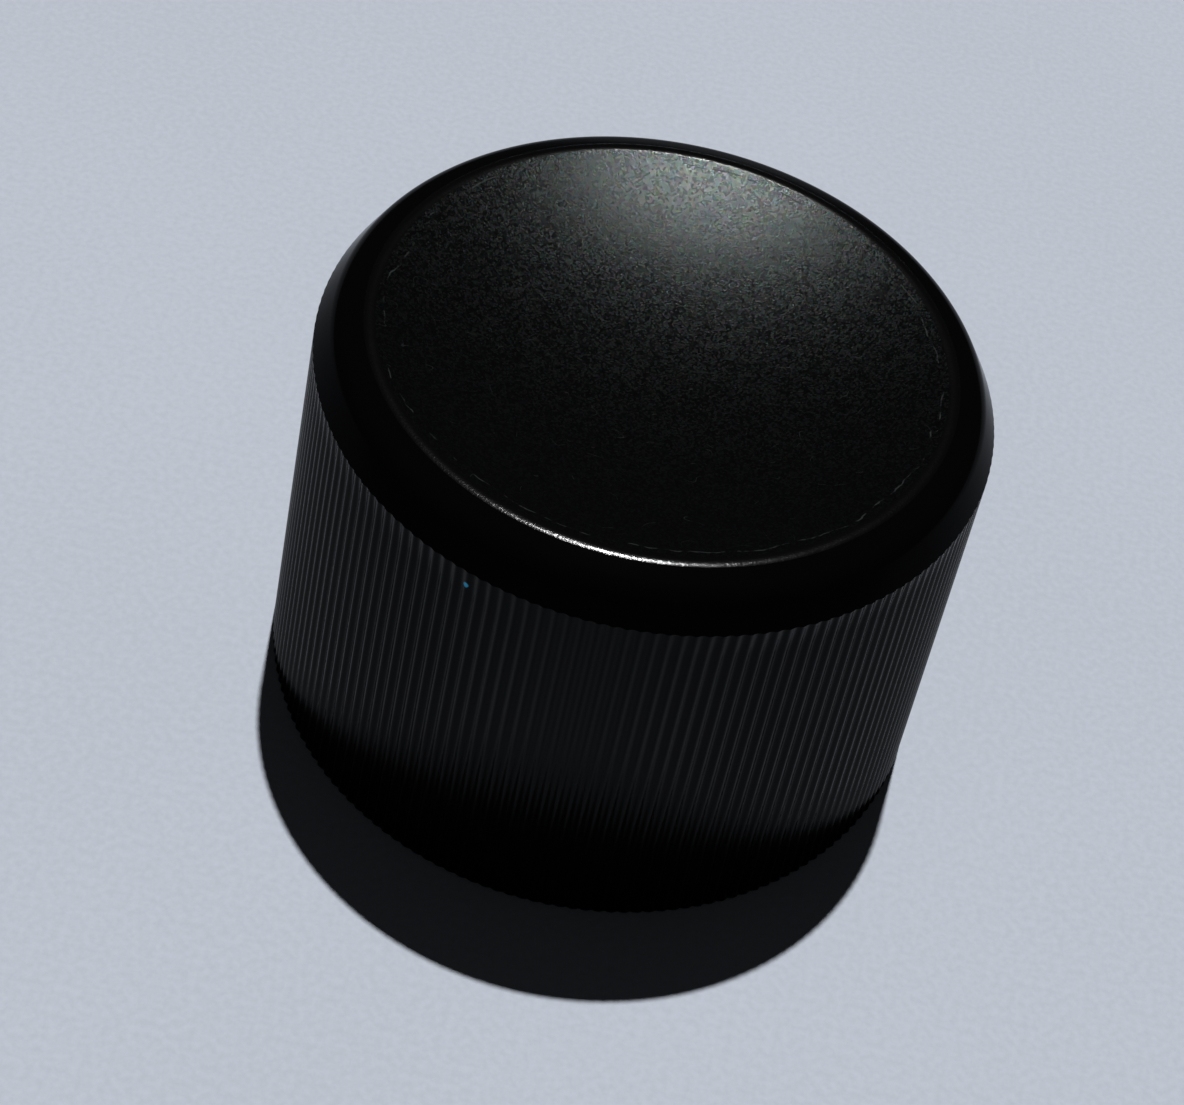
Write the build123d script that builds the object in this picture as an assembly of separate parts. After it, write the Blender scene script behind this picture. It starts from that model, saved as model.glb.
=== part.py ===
from build123d import *
from math import asin, cos, degrees, pi, radians, sin, sqrt, tan
import os

# A push-on control knob for a flatted shaft. One moulding makes the finely ribbed, drafted
# grip, the smooth rounded shoulder, the dished top and, inside, the webs and the slotted hub.
# A sprung steel band closes the hub on the shaft. Sizes are in millimetres. The axis is Z,
# the knob stands on the rim of its skirt at Z = 0, and the dish faces up.

# Outside of the moulding
knob_height = 20.8
shoulder_height = 2.0
grip_diameter = 30.0
draft_angle = 1.66
rib_count = 166
rib_depth = 0.17
rib_flat = 0.1
shoulder_lean = 26.5
shoulder_round = 1.5
shoulder_tilt = 20.0
crest_inset = 2.28
crest_round = 0.8
dish_radius = 44.0

# Inside of the moulding
skirt_wall = 1.6
top_wall = 1.7
mouth_chamfer = 0.3
ceiling_fillet = 1.2
hub_diameter = 10.0
hub_recess = 4.5
web_count = 4
web_thickness = 1.2
web_foot = 9.0
web_bite = 0.6

# Socket for the shaft
shaft_diameter = 6.0
shaft_clearance = 0.02
shaft_across_flat = 4.5
socket_depth = 12.0
socket_chamfer = 0.5
round_entry = 3.0
entry_clearance = 0.2
slot_width = 1.0
slot_length = 5.5

# Spring band round the hub
band_thickness = 0.5
band_width = 4.0
band_gap = 2.0
band_corner = 0.8

# Places that follow. The dish, the crest and the upper slope of the shoulder run on into each
# other. A round joins that slope to the lower one, which leans in from the top of the ribs.
grip_height = knob_height - shoulder_height
crest_x = grip_diameter / 2 - crest_inset
crest_z = knob_height - crest_round
dish_tilt = degrees(asin(crest_x / (dish_radius + crest_round)))
dish_z = crest_z + sqrt((dish_radius + crest_round) ** 2 - crest_x**2)
dish_floor = dish_z - dish_radius
ceiling = dish_floor - top_wall
bore_radius = shaft_diameter / 2 + shaft_clearance
entry_radius = shaft_diameter / 2 + entry_clearance


def crest_radius(z):
    """Radius over the rib crests at height z, which grows towards the base with the draft."""
    return grip_diameter / 2 + (grip_height - z) * tan(radians(draft_angle))


def cavity_radius(z):
    """Radius of the hollow inside, which keeps the skirt at one thickness below the ribs."""
    return crest_radius(z) - rib_depth - skirt_wall


def rib_outline(scale):
    """Section across all the ribs, as they are at the top of the grip times scale."""
    crest = grip_diameter / 2
    root = crest - rib_depth
    pitch = 2 * pi / rib_count
    flat = rib_flat / crest
    corners = []
    for rib in range(rib_count):
        middle = pi / 2 + rib * pitch
        corners.append((root, middle - (pitch - flat) / 2))
        corners.append((crest, middle - flat / 2))
        corners.append((crest, middle + flat / 2))
        corners.append((root, middle + (pitch - flat) / 2))
    return Polyline(
        *[(scale * radius * cos(angle), scale * radius * sin(angle)) for radius, angle in corners],
        close=True,
    )


def ribbed_grip():
    """A solid plug that carries the ribs to its full height, smaller towards the top with the draft."""
    base = make_face(rib_outline(crest_radius(0) / crest_radius(grip_height)))
    top = make_face(rib_outline(crest_radius(knob_height) / crest_radius(grip_height)))
    return loft([base, Pos(0, 0, knob_height) * top], ruled=True)


def turned_form():
    """The turned outside: the dish, the crest and the shoulder, whose lower slope ends the ribs."""
    blank_radius = crest_radius(0) + rib_depth
    lean = tan(radians(shoulder_lean))
    slope = tan(radians(shoulder_tilt))
    blank_z = grip_height - (blank_radius - grip_diameter / 2) / lean
    with BuildPart() as form:
        with BuildSketch(Plane.XZ):
            with BuildLine():
                dish = CenterArc((0, dish_z), dish_radius, -90, dish_tilt)
                crest = CenterArc(
                    (crest_x, crest_z), crest_round, 90 - shoulder_tilt, shoulder_tilt + dish_tilt
                )
                start = crest @ 0
                # The upper and the lower slope, drawn on, meet in the corner that the round cuts.
                reach = (start.Y - blank_z + (start.X - blank_radius) / lean) / (slope - 1 / lean)
                corner = (start.X + reach, start.Y - reach * slope)
                shoulder = FilletPolyline(
                    start, corner, (blank_radius, blank_z), radius=shoulder_round
                )
                Polyline(shoulder @ 1, (blank_radius, 0), (0, 0), dish @ 0)
            make_face()
        revolve(axis=Axis.Z)
    return form.part


def cavity():
    """The hollow under the top, open at the base, with a rounded corner at the ceiling."""
    with BuildPart() as hollow:
        with BuildSketch(Plane.XZ):
            with BuildLine():
                Polyline(
                    (0, 0),
                    (cavity_radius(0) + mouth_chamfer, 0),
                    (cavity_radius(mouth_chamfer), mouth_chamfer),
                    (cavity_radius(ceiling), ceiling),
                    (0, ceiling),
                    close=True,
                )
            make_face()
            corner = vertices().sort_by(Axis.Y)[-2:].sort_by(Axis.X)[-1]
            fillet(corner, radius=ceiling_fillet)
        revolve(axis=Axis.Z)
    return hollow.part


def webs():
    """Radial webs that tie the hub to the skirt and the ceiling, clear of the spring band."""
    inner = hub_diameter / 2 - web_bite
    outer = cavity_radius(web_foot) + web_bite
    height = ceiling + web_bite - web_foot
    web = Pos(inner, 0, web_foot) * Box(
        outer - inner, web_thickness, height, align=(Align.MIN, Align.CENTER, Align.MIN)
    )
    first = 180 / web_count
    return [Rot(0, 0, first + 360 / web_count * k) * web for k in range(web_count)]


def flatted_socket():
    """The shaft's seat: a D section that holds the flat, above the wider round entry."""
    flat_y = shaft_diameter / 2 - shaft_across_flat - shaft_clearance
    section = Circle(bore_radius) & Pos(0, flat_y) * Rectangle(
        bore_radius * 3, bore_radius * 3, align=(Align.CENTER, Align.MIN)
    )
    return Pos(0, 0, round_entry) * extrude(section, amount=socket_depth - round_entry)


def hub():
    """The post that takes the shaft, with the slot across its free end that lets it spring."""
    height = dish_floor - top_wall / 2 - hub_recess
    with BuildPart() as post:
        with BuildSketch(Plane.XZ):
            with BuildLine():
                Polyline(
                    (entry_radius + socket_chamfer, 0),
                    (hub_diameter / 2, 0),
                    (hub_diameter / 2, height),
                    (0, height),
                    (0, round_entry),
                    (entry_radius, round_entry),
                    (entry_radius, socket_chamfer),
                    close=True,
                )
            make_face()
        revolve(axis=Axis.Z)
    slot = Box(
        hub_diameter * 2, slot_width, slot_length, align=(Align.CENTER, Align.CENTER, Align.MIN)
    )
    return Pos(0, 0, hub_recess) * (post.part - slot - flatted_socket())


def knob_body():
    """The whole moulding, as one solid."""
    return (turned_form() & ribbed_grip()) - cavity() + hub() + webs()


def hub_spring():
    """The spring band: a split ring on the hub's free end, seated against the webs."""
    inner = hub_diameter / 2
    outer = inner + band_thickness
    ring = extrude(Circle(outer) - Circle(inner), amount=band_width)
    gap = Box(band_gap, outer * 2, band_width * 3, align=(Align.CENTER, Align.MIN, Align.CENTER))
    band = ring - gap
    corners = band.edges().filter_by(Axis.Y)
    return Pos(0, 0, web_foot - band_width) * fillet(corners, band_corner)


nodes = {"knob_body": knob_body(), "hub_spring": hub_spring()}

os.makedirs("parts", exist_ok=True)
for name, node in nodes.items():
    export_step(node, f"parts/{name}.step")
print(f"grip height {grip_height:.3f}, dish floor {dish_floor:.3f}, ceiling {ceiling:.3f}")
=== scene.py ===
import bpy
from math import asin, atan2, cos, degrees, pi, radians, sin, tan
from mathutils import Matrix, Vector


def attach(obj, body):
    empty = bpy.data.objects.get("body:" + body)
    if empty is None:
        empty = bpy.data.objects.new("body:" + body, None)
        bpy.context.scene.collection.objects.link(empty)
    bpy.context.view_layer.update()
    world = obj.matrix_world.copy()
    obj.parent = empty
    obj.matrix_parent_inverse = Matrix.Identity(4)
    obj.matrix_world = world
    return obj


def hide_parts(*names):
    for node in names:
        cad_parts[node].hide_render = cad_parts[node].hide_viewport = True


# A push-on knob of black moulded plastic, with its spring band. It stands on a sheet of pale
# paper. Sizes are in millimetres and become metres where a mesh is made.

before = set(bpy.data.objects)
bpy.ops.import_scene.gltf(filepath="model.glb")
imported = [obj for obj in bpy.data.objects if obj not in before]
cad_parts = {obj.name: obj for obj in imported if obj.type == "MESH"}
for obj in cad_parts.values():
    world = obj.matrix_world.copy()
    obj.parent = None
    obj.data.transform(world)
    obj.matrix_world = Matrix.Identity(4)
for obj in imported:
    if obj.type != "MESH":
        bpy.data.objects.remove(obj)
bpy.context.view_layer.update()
mm = 0.001

# The outside of the knob
grip_top = 18.82
grip_radius = 15.0
rib_height = 0.13
rib_end_height = 0.02
rib_run_out = 17.5
ribs = 166
rib_points = 12
draft = radians(1.66)
lean = radians(30)
base_radius = 15.545
base_edge = 0.1
blank_radius = 15.7
blank_foot = 0.5
blank_top = grip_top - (blank_radius - grip_radius) / tan(lean)
lean_end = (14.3583, 19.9314)
shoulder_middle = (13.2325, 19.2814)
shoulder_turned = 40
slope_tilt = 20
slope_start = (12.9936, 20.7518)
crest_middle = (12.72, 20.0)
crest_radius = 0.8
dish_middle = 62.956
dish_radius = 44.0
dish_edge = degrees(asin(crest_middle[0] / (dish_radius + crest_radius)))
dish_end = crest_middle[0] * dish_radius / (dish_radius + crest_radius)
crest_end = 13.25

# The inside of the knob
ceiling = 17.256
ceiling_round = 1.2
inner_base = 13.775
inner_top = 13.275
mouth_chamfer = 0.3
hub_radius = 5.0
hub_top = ceiling + 0.8
hub_mouth = 4.5
hub_edge = 0.15
entry_radius = 3.2
entry_chamfer = 0.5
entry_end = 7.5
seat_radius = 3.02
seat_end = 16.5
flat_at = 1.52
slot_end = 10.0
slot_width = 1.0
webs = 4
web_foot = 9.0
web_thickness = 1.2
web_bite = 0.6
web_edge = 0.12

# The spring band
band_inner = hub_radius + 0.02
band_outer = hub_radius + 0.5
band_foot = web_foot - 4.0
band_half_gap = 1.0
band_corner = 0.8

# The view of the photograph, the lamp and the sky
camera_distance = 0.13044
camera_height = 0.8598
camera_aim = (-0.00115, 0.006056)
camera_roll = 0.221
camera_lens = 81.34
key_azimuth = radians(90.8)
key_height = radians(74.1)
key_spread = radians(0.9)
key_strength = 0.98 * pi
sky_colour = (0.9, 0.95, 1.0)
sky_strength = 0.018

# Where the profile that is being drawn has got to, as x across and z up
pen = [0, 0]


def plain():
    """Leaves every object deselected, in object mode."""
    if bpy.context.object and bpy.context.object.mode != "OBJECT":
        bpy.ops.object.mode_set(mode="OBJECT")
    bpy.ops.object.select_all(action="DESELECT")


def begin(name, x, z):
    """A new piece that is one point so far, in edit mode, from which a profile is drawn."""
    plain()
    bpy.ops.mesh.primitive_plane_add(size=mm, location=(x * mm, 0, z * mm))
    piece = bpy.context.object
    piece.name = name
    bpy.ops.object.mode_set(mode="EDIT")
    bpy.ops.mesh.select_mode(type="VERT")
    bpy.ops.mesh.merge(type="CENTER")
    pen[:] = [x, z]
    return piece


def line(*points):
    """Draws the profile on in straight lines to each point, given as x across and z up."""
    for x, z in points:
        bpy.ops.mesh.extrude_region_move(
            TRANSFORM_OT_translate={"value": ((x - pen[0]) * mm, 0, (z - pen[1]) * mm)}
        )
        pen[:] = [x, z]


def arc(middle, turned, steps):
    """Draws the profile on along an arc of so many degrees, anticlockwise seen from the front."""
    bpy.ops.mesh.spin(
        steps=steps,
        angle=radians(turned),
        center=(middle[0] * mm, 0, middle[1] * mm),
        axis=(0, 1, 0),
    )
    x, z, a = pen[0] - middle[0], pen[1] - middle[1], radians(turned)
    pen[:] = [middle[0] + x * cos(a) - z * sin(a), middle[1] + x * sin(a) + z * cos(a)]


def turn(steps):
    """Spins the profile all the way round the axis into a closed skin that faces outwards."""
    bpy.ops.mesh.select_all(action="SELECT")
    bpy.ops.mesh.spin(steps=steps, angle=2 * pi, center=(0, 0, 0), axis=(0, 0, 1))
    bpy.ops.mesh.select_all(action="SELECT")
    bpy.ops.mesh.remove_doubles(threshold=0.0005 * mm)
    bpy.ops.mesh.normals_make_consistent(inside=False)
    bpy.ops.object.mode_set(mode="OBJECT")


def settle(piece):
    """Puts the piece's place into its mesh, so that its object sits at the origin."""
    plain()
    piece.select_set(True)
    bpy.context.view_layer.objects.active = piece
    bpy.ops.object.transform_apply(location=True, rotation=True, scale=True)
    return piece


def pick(piece, kind, test):
    """Selects, in edit mode, only the points, edges or faces whose middle passes the test."""
    bpy.context.view_layer.objects.active = piece
    if piece.mode != "EDIT":
        bpy.ops.object.mode_set(mode="EDIT")
    bpy.ops.mesh.select_mode(type=kind)
    bpy.ops.mesh.select_all(action="DESELECT")
    bpy.ops.object.mode_set(mode="OBJECT")
    mesh = piece.data
    parts = {"VERT": mesh.vertices, "EDGE": mesh.edges, "FACE": mesh.polygons}[kind]
    for part in parts:
        if kind == "VERT":
            place = part.co
        elif kind == "FACE":
            place = part.center
        else:
            place = sum((mesh.vertices[v].co for v in part.vertices), Vector()) / 2
        if test(place / mm):
            part.select = True
    bpy.ops.object.mode_set(mode="EDIT")


def drafted(z):
    """The radius over the ribs at a height."""
    return grip_radius + (grip_top - z) * tan(draft)


def phase(p):
    """How many rib points a place is round from the nearest rib's middle, as a whole number."""
    turned = degrees(atan2(p.x, p.y)) / 360 * ribs * rib_points
    return round(turned) % rib_points


def box(size, middle, turned=0):
    """A block of that size round that middle, turned about the upright."""
    plain()
    bpy.ops.mesh.primitive_cube_add(
        size=1,
        location=[c * mm for c in middle],
        rotation=(0, 0, turned),
        scale=[c * mm for c in size],
    )
    return settle(bpy.context.object)


def combine(piece, tool, how):
    """Joins the tool to the piece, cuts it out or keeps what lies in both, and removes it."""
    plain()
    piece.select_set(True)
    bpy.context.view_layer.objects.active = piece
    step = piece.modifiers.new(how, "BOOLEAN")
    step.operation = how
    step.solver = "EXACT"
    step.object = tool
    bpy.ops.object.modifier_apply(modifier=step.name)
    bpy.data.objects.remove(tool)


def smooth(piece, sharpest):
    """Shades the piece smooth but for the edges that turn by more than so many degrees."""
    plain()
    piece.select_set(True)
    bpy.context.view_layer.objects.active = piece
    bpy.ops.object.shade_smooth_by_angle(angle=radians(sharpest))


def turned_shell():
    """The dish, crest, shoulder and hollow, turned from one profile, with a blank for the ribs."""
    round_start = inner_top - ceiling_round
    shell = begin("knob_moulding", 0, ceiling)
    line((round_start, ceiling))
    arc((round_start, ceiling - ceiling_round), -88, 6)
    line((inner_base, mouth_chamfer), (inner_base + mouth_chamfer, 0))
    line((base_radius - base_edge, 0), (base_radius + base_edge, 2 * base_edge))
    line((blank_radius, blank_foot), (blank_radius, blank_top), lean_end)
    arc(shoulder_middle, shoulder_turned, 9)
    line(slope_start)
    arc(crest_middle, slope_tilt + dish_edge, 10)
    arc((0, dish_middle), -dish_edge, 22)
    turn(2 * ribs)
    return settle(shell)


def hollow_between(plug, depth, at):
    """Draws in the places between the ribs by a depth that rounds off towards each rib's middle."""
    for step in range(1, rib_points // 2 + 1):
        sunk = depth * (1 - cos(2 * pi * step / rib_points)) / 2
        narrower = 1 - sunk / grip_radius
        pick(plug, "VERT", lambda p: at(p) and phase(p) in (step, rib_points - step))
        bpy.ops.transform.resize(value=(narrower, narrower, 1), center_override=(0, 0, 0))


def carry_on(plug, high, low):
    """Draws the plug's lower end on downwards, and widens it with the draft."""
    pick(plug, "FACE", lambda p: p.z < high + 0.01)
    bpy.ops.mesh.extrude_region_move(TRANSFORM_OT_translate={"value": (0, 0, (low - high) * mm)})
    wider = drafted(low) / drafted(high)
    bpy.ops.transform.resize(value=(wider, wider, 1), center_override=(0, 0, 0))


def cut_ribs(shell):
    """Shapes a plug with rounded ribs down its drafted side, and keeps the shell inside it.
    The hollows between the ribs get shallower at the top, where they run out."""
    plain()
    top, end, foot = 22.0, grip_top + 0.1, -1.0
    bpy.ops.mesh.primitive_circle_add(
        vertices=ribs * rib_points,
        radius=drafted(top) * mm,
        fill_type="NGON",
        location=(0, 0, top * mm),
    )
    plug = settle(bpy.context.object)
    hollow_between(plug, rib_end_height, lambda p: True)
    carry_on(plug, top, end)
    carry_on(plug, end, rib_run_out)
    hollow_between(plug, rib_height - rib_end_height, lambda p: p.z < rib_run_out + 0.01)
    carry_on(plug, rib_run_out, foot)
    bpy.ops.mesh.select_all(action="SELECT")
    bpy.ops.mesh.normals_make_consistent(inside=False)
    plain()
    combine(shell, plug, "INTERSECT")


def add_hub(shell):
    """The post for the shaft with its round entry, the webs to the skirt, the slot and the seat."""
    post = begin("hub_post", 0, hub_top)
    line((hub_radius, hub_top), (hub_radius, hub_mouth + hub_edge))
    line((hub_radius - hub_edge, hub_mouth), (entry_radius + entry_chamfer, hub_mouth))
    line((entry_radius, hub_mouth + entry_chamfer), (entry_radius, entry_end), (0, entry_end))
    turn(72)
    settle(post)
    reach = inner_top - hub_radius + 2 * web_bite
    middle = (hub_radius + inner_top) / 2
    for k in range(webs):
        way = pi / webs + 2 * pi / webs * k
        web = box(
            (reach, web_thickness, hub_top - web_foot),
            (middle * cos(way), middle * sin(way), (web_foot + hub_top) / 2),
            turned=way,
        )
        pick(web, "EDGE", lambda p: p.z < web_foot + 0.01)
        bpy.ops.mesh.bevel(offset=web_edge * mm, segments=2)
        combine(post, web, "UNION")
    # The slot and the seat are cut from 1 mm below where they start.
    slot_foot, seat_foot = hub_mouth - 1, entry_end - 1
    slot = box((16, slot_width, slot_end - slot_foot), (0, 0, (slot_foot + slot_end) / 2))
    combine(post, slot, "DIFFERENCE")
    plain()
    bpy.ops.mesh.primitive_cylinder_add(
        vertices=64,
        radius=seat_radius * mm,
        depth=(seat_end - seat_foot) * mm,
        location=(0, 0, (seat_end + seat_foot) / 2 * mm),
    )
    seat = settle(bpy.context.object)
    pick(seat, "VERT", lambda p: True)
    bpy.ops.mesh.bisect(
        plane_co=(0, -flat_at * mm, 0), plane_no=(0, -1, 0), clear_outer=True, use_fill=True
    )
    combine(post, seat, "DIFFERENCE")
    combine(shell, post, "UNION")


def spring_band():
    """The split ring of spring strip round the hub's mouth, with its rounded ends."""
    low, high = band_foot, web_foot
    fine, edge = 0.05, 0.07
    band = begin("spring_band", band_inner, low + fine)
    line((band_inner, high - fine), (band_inner + fine, high))
    line((band_outer - edge, high), (band_outer, high - edge))
    line((band_outer, low + edge), (band_outer - edge, low))
    line((band_inner + fine, low), (band_inner, low + fine))
    turn(160)
    settle(band)
    # The gap is drawn from the front as a strip that flares round each end's two corners.
    side, flare = band_half_gap, band_half_gap + band_corner
    gap = begin("band_gap", flare, high)
    arc((flare, high - band_corner), 90, 6)
    line((side, low + band_corner))
    arc((flare, low + band_corner), 90, 6)
    line((flare, low - 1), (-flare, low - 1), (-flare, low))
    arc((-flare, low + band_corner), 90, 6)
    line((-side, high - band_corner))
    arc((-flare, high - band_corner), 90, 6)
    line((-flare, high + 1), (flare, high + 1), (flare, high))
    bpy.ops.mesh.select_all(action="SELECT")
    bpy.ops.mesh.remove_doubles(threshold=0.0005 * mm)
    bpy.ops.mesh.select_all(action="SELECT")
    bpy.ops.mesh.edge_face_add()
    bpy.ops.mesh.extrude_region_move(TRANSFORM_OT_translate={"value": (0, 8 * mm, 0)})
    bpy.ops.mesh.select_all(action="SELECT")
    bpy.ops.mesh.normals_make_consistent(inside=False)
    settle(gap)
    combine(band, gap, "DIFFERENCE")
    return band


# The colours of the finishes
black = (0.0015, 0.0015, 0.0016)
cool_shine = (0.84, 1.03, 1.0)
lint = (0.016, 0.018, 0.018)
speck_blue = (0.04, 0.4, 0.65)
paper_white = (0.505, 0.543, 0.612)


class Finish:
    """A material, with short ways to add its nodes."""

    def __init__(self, name):
        self.material = bpy.data.materials.new(name)
        self.material.use_nodes = True
        self.tree = self.material.node_tree
        self.shader = self.tree.nodes["Principled BSDF"]
        self.place = self.tree.nodes.new("ShaderNodeTexCoord").outputs["Object"]

    def node(self, kind, sockets, output=0, **settings):
        """A new node with its settings, its inputs set or joined, and the output that is used."""
        made = self.tree.nodes.new("ShaderNode" + kind)
        for name, value in settings.items():
            setattr(made, name, value)
        for name, value in sockets.items():
            if isinstance(value, bpy.types.NodeSocket):
                self.tree.links.new(value, made.inputs[name])
            else:
                made.inputs[name].default_value = value
        return made.outputs[output]

    def math(self, operation, *values):
        return self.node("Math", dict(enumerate(values)), operation=operation)

    def ramp(self, value, low, high):
        """0 below low, 1 above high, and a soft step between. It falls if low is the higher."""
        return self.node(
            "MapRange",
            {"Value": value, "From Min": low, "From Max": high},
            interpolation_type="SMOOTHSTEP",
        )

    def noise(self, size, detail=2.0, rough=0.5, stretch=None):
        """Cloudy noise of about that size in millimetres, from 0 to 1."""
        at = self.place
        if stretch:
            at = self.node("Mapping", {"Vector": at, "Scale": stretch})
        sockets = {"Vector": at, "Scale": 1 / (size * mm), "Detail": detail, "Roughness": rough}
        return self.node("TexNoise", sockets, output="Fac")

    def cells(self, size):
        """Small cells of about that size in millimetres, each of its own plain colour."""
        sockets = {"Vector": self.place, "Scale": 1 / (size * mm)}
        return self.node("TexVoronoi", sockets, output="Color")

    def join(self, name, value):
        """Lets the value set one of the shader's inputs."""
        self.tree.links.new(value, self.shader.inputs[name])

    def bump(self, height, depth):
        """Gives the surface a relief of so many millimetres for a height of 1."""
        sockets = {"Height": height, "Strength": 1.0, "Distance": depth * mm}
        self.join("Normal", self.node("Bump", sockets))

    def blend(self, amount, a, b):
        """From number a to number b by the amount."""
        return self.node("Mix", {"Factor": amount, "A": a, "B": b})

    def tint(self, amount, a, b):
        """From colour a to colour b by the amount."""
        made = self.tree.nodes.new("ShaderNodeMix")
        made.data_type = "RGBA"
        for slot, value in ((0, amount), (6, a), (7, b)):
            if isinstance(value, bpy.types.NodeSocket):
                self.tree.links.new(value, made.inputs[slot])
            else:
                made.inputs[slot].default_value = value if slot == 0 else (*value, 1)
        return made.outputs[2]


def off_middle(f, value, middle):
    """How far a value is from a middle one, either way."""
    return f.math("ABSOLUTE", f.math("SUBTRACT", value, middle))


def across(f):
    """How far out from the axis a place on the surface is."""
    x, y = (f.node("SeparateXYZ", {"Vector": f.place}, output=k) for k in range(2))
    return f.math("SQRT", f.math("ADD", f.math("MULTIPLY", x, x), f.math("MULTIPLY", y, y)))


def dish_plastic():
    """The finely sparked black of the dish. A broken line of lint lies just inside the crest,
    and short hairs lie in the dish."""
    f = Finish("black_dish_of_knob")
    radius, lint_ring = across(f), 12.15
    in_dish = f.ramp(radius, 12.5 * mm, 12.2 * mm)
    grain = f.noise(0.07, detail=2.0, rough=0.6)
    spark = f.cells(0.1)
    cloud = f.noise(2.5, detail=4.0, rough=0.6)
    wander = f.math("MULTIPLY", f.math("SUBTRACT", f.noise(3.0, detail=4.0), 0.5), 1.3 * mm)
    off_ring = off_middle(f, f.math("ADD", radius, wander), lint_ring * mm)
    ring = f.ramp(off_ring, 0.04 * mm, 0.012 * mm)
    broken = f.ramp(f.noise(0.8, detail=4.0), 0.48, 0.62)
    hair = f.ramp(off_middle(f, f.noise(1.3, detail=1.0), 0.5), 0.005, 0.0015)
    apart = f.ramp(f.noise(0.9, detail=1.0), 0.58, 0.66)
    dirt = f.math(
        "MAXIMUM",
        f.math("MULTIPLY", ring, broken),
        f.math("MULTIPLY", f.math("MULTIPLY", hair, apart), f.math("MULTIPLY", in_dish, 0.45)),
    )
    f.join("Base Color", f.tint(dirt, black, lint))
    smoother, rougher = f.blend(cloud, 0.13, 0.18), f.blend(cloud, 0.27, 0.34)
    satin = f.blend(f.ramp(spark, 0.2, 0.8), smoother, rougher)
    f.join("Roughness", f.blend(dirt, satin, 0.6))
    f.join("Specular Tint", f.tint(0.45, cool_shine, f.cells(0.085)))
    f.shader.inputs["IOR"].default_value = 1.265
    f.bump(f.math("ADD", grain, f.math("MULTIPLY", dirt, 0.2)), 0.012)
    return f.material


def crest_plastic():
    """The black of the crest, which handling has polished, so that it takes a bright glint."""
    f = Finish("black_crest_of_knob")
    grain = f.noise(0.1, detail=3.0, rough=0.6)
    cloud = f.noise(1.0, detail=3.0, rough=0.6)
    f.shader.inputs["Base Color"].default_value = (*black, 1)
    f.join("Roughness", f.blend(cloud, 0.145, 0.19))
    f.shader.inputs["IOR"].default_value = 1.37
    f.bump(grain, 0.009)
    return f.material


def side_plastic():
    """The satin black of the ribs and of the moulding's inside, with one blue speck on a rib."""
    f = Finish("black_side_of_knob")
    grain = f.noise(0.1, detail=3.0, rough=0.6)
    cloud = f.noise(3.0, detail=3.0, rough=0.6)
    around, z = radians(-111.8), 18.1
    at = (drafted(z) * cos(around) * mm, drafted(z) * sin(around) * mm, z * mm)
    away = f.node("VectorMath", {0: f.place, 1: at}, output="Value", operation="DISTANCE")
    f.join("Base Color", f.tint(f.ramp(away, 0.16 * mm, 0.08 * mm), black, speck_blue))
    f.join("Roughness", f.blend(cloud, 0.15, 0.22))
    f.shader.inputs["IOR"].default_value = 1.12
    f.bump(grain, 0.006)
    return f.material


def shoulder_plastic():
    """The deep black of the smooth shoulder, which shows little of what is round it."""
    f = Finish("black_shoulder_of_knob")
    cloud = f.noise(1.5, detail=4.0, rough=0.6)
    f.shader.inputs["Base Color"].default_value = (*black, 1)
    f.join("Roughness", f.blend(cloud, 0.12, 0.17))
    f.shader.inputs["IOR"].default_value = 1.055
    f.bump(cloud, 0.004)
    return f.material


def spring_steel():
    """Plain rolled strip, finely streaked round the band."""
    f = Finish("spring_steel")
    streaks = f.noise(0.08, detail=3.0, stretch=(0.05, 0.05, 1))
    f.shader.inputs["Metallic"].default_value = 1
    f.join("Base Color", f.tint(streaks, (0.48, 0.48, 0.47), (0.62, 0.62, 0.6)))
    f.join("Roughness", f.blend(streaks, 0.28, 0.42))
    return f.material


def paper():
    """The pale sheet, faintly grained and clouded."""
    f = Finish("plain_paper")
    grain = f.math("MULTIPLY", f.noise(0.35, detail=3.0), 0.8)
    cloud = f.math("ADD", f.math("MULTIPLY", f.noise(30.0, detail=2.0), 0.3), grain)
    darker, lighter = (tuple(k * c for c in paper_white) for k in (0.95, 1.05))
    f.join("Base Color", f.tint(f.ramp(cloud, 0.3, 0.8), darker, lighter))
    f.shader.inputs["Roughness"].default_value = 0.9
    f.shader.inputs["Specular IOR Level"].default_value = 0.1
    return f.material


def finish_with(piece, *finishes):
    """Gives the piece its finishes. The first is all over until faces take one of the others."""
    piece.data.materials.clear()
    for finish in finishes:
        piece.data.materials.append(finish)


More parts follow.
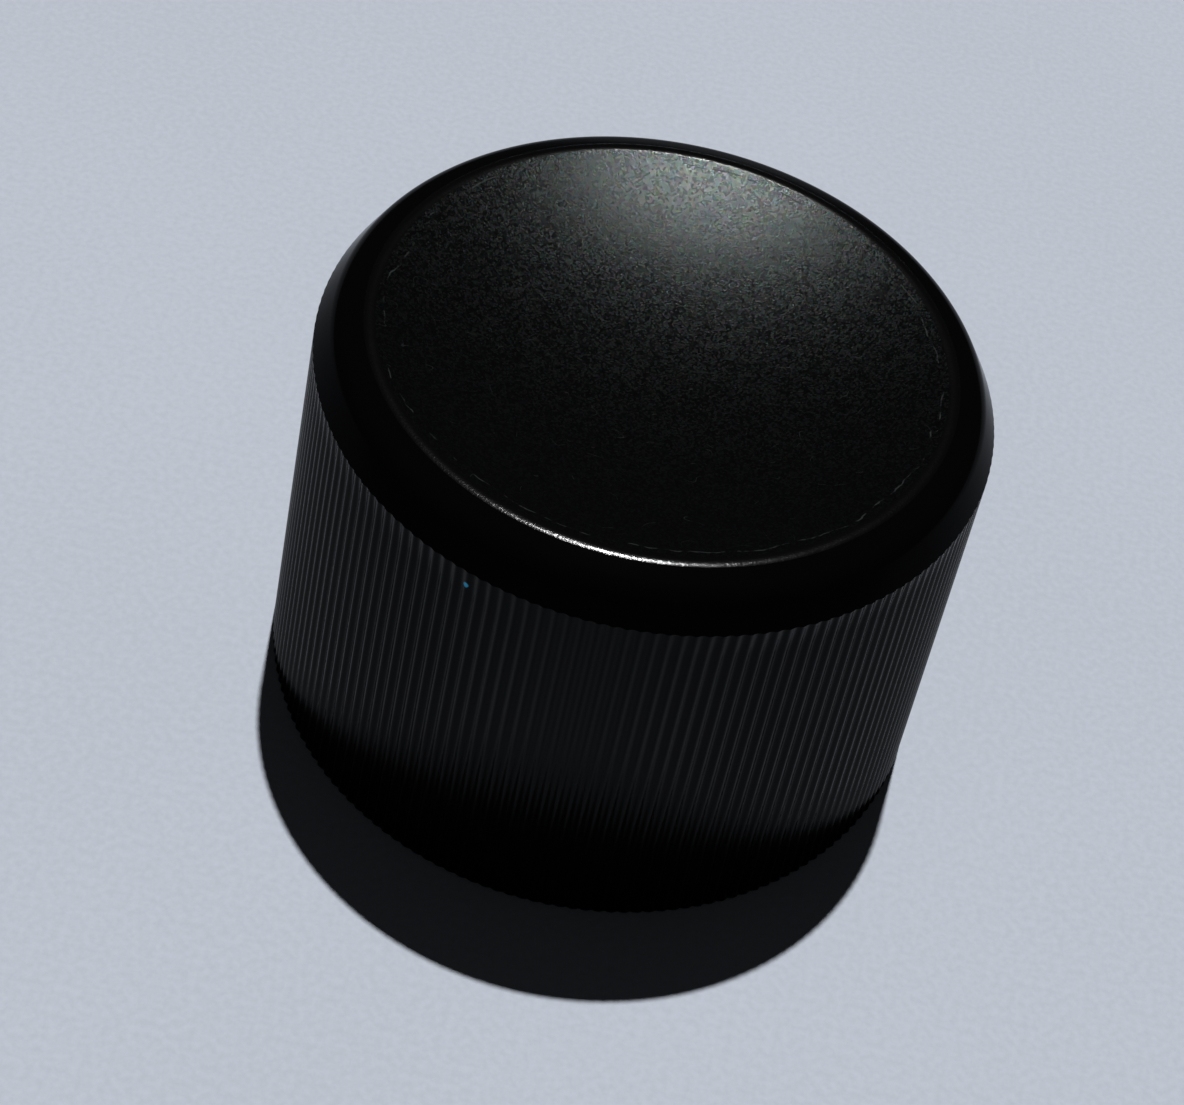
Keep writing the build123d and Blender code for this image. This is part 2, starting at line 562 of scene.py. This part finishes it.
def finish_top(piece):
    """Gives the next finishes to the dish, to the crest and to the shoulder."""
    rings = ((0, dish_end), (dish_end, crest_end), (crest_end, blank_radius))
    for slot, (inner, outer) in enumerate(rings, start=1):
        pick(piece, "FACE", lambda p: p.z > grip_top + 0.03 and inner <= p.xy.length < outer)
        piece.active_material_index = slot
        bpy.ops.object.material_slot_assign()
    plain()


def light_and_floor():
    """The sheet of paper, a dim sky and a lamp like the sun, high up and a little behind."""
    plain()
    bpy.ops.mesh.primitive_plane_add(size=4.0)
    floor = bpy.context.object
    floor.name = "paper_sheet"
    finish_with(floor, paper())
    sky = bpy.data.worlds.new("dim_sky")
    sky.use_nodes = True
    background = sky.node_tree.nodes["Background"]
    background.inputs["Color"].default_value = (*sky_colour, 1)
    background.inputs["Strength"].default_value = sky_strength
    bpy.context.scene.world = sky
    plain()
    bpy.ops.object.light_add(type="SUN")
    lamp = bpy.context.object
    lamp.name = "key_lamp"
    lamp.data.energy = key_strength / sin(key_height)
    lamp.data.angle = key_spread
    towards = Vector(
        (cos(key_height) * cos(key_azimuth), cos(key_height) * sin(key_azimuth), sin(key_height))
    )
    lamp.rotation_euler = towards.to_track_quat("Z", "Y").to_euler()
    lamp.location = towards * 0.5


def camera():
    """The photograph's view: from the front, looking down, with the camera rolled a little."""
    plain()
    bpy.ops.object.camera_add()
    cam = bpy.context.object
    cam.name = "camera"
    place = Vector((0, -camera_distance * cos(camera_height), camera_distance * sin(camera_height)))
    ahead = (Vector((*camera_aim, 0)) - place).normalized()
    right = ahead.cross(Vector((0, 0, 1))).normalized()
    up = right.cross(ahead)
    level = Matrix((right, up, -ahead)).transposed()
    roll = Matrix.Rotation(camera_roll, 3, "Z")
    cam.matrix_world = Matrix.Translation(place) @ (level @ roll).to_4x4()
    cam.data.lens = camera_lens
    cam.data.sensor_width = 36
    cam.data.clip_start = 0.01
    bpy.context.scene.camera = cam


shell = turned_shell()
add_hub(shell)
cut_ribs(shell)
smooth(shell, 20)
finish_with(shell, side_plastic(), dish_plastic(), crest_plastic(), shoulder_plastic())
finish_top(shell)
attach(shell, "root")
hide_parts("knob_body")

band = spring_band()
smooth(band, 28)
finish_with(band, spring_steel())
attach(band, "root")
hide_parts("hub_spring")

light_and_floor()
camera()
bpy.context.scene.view_settings.view_transform = "Standard"
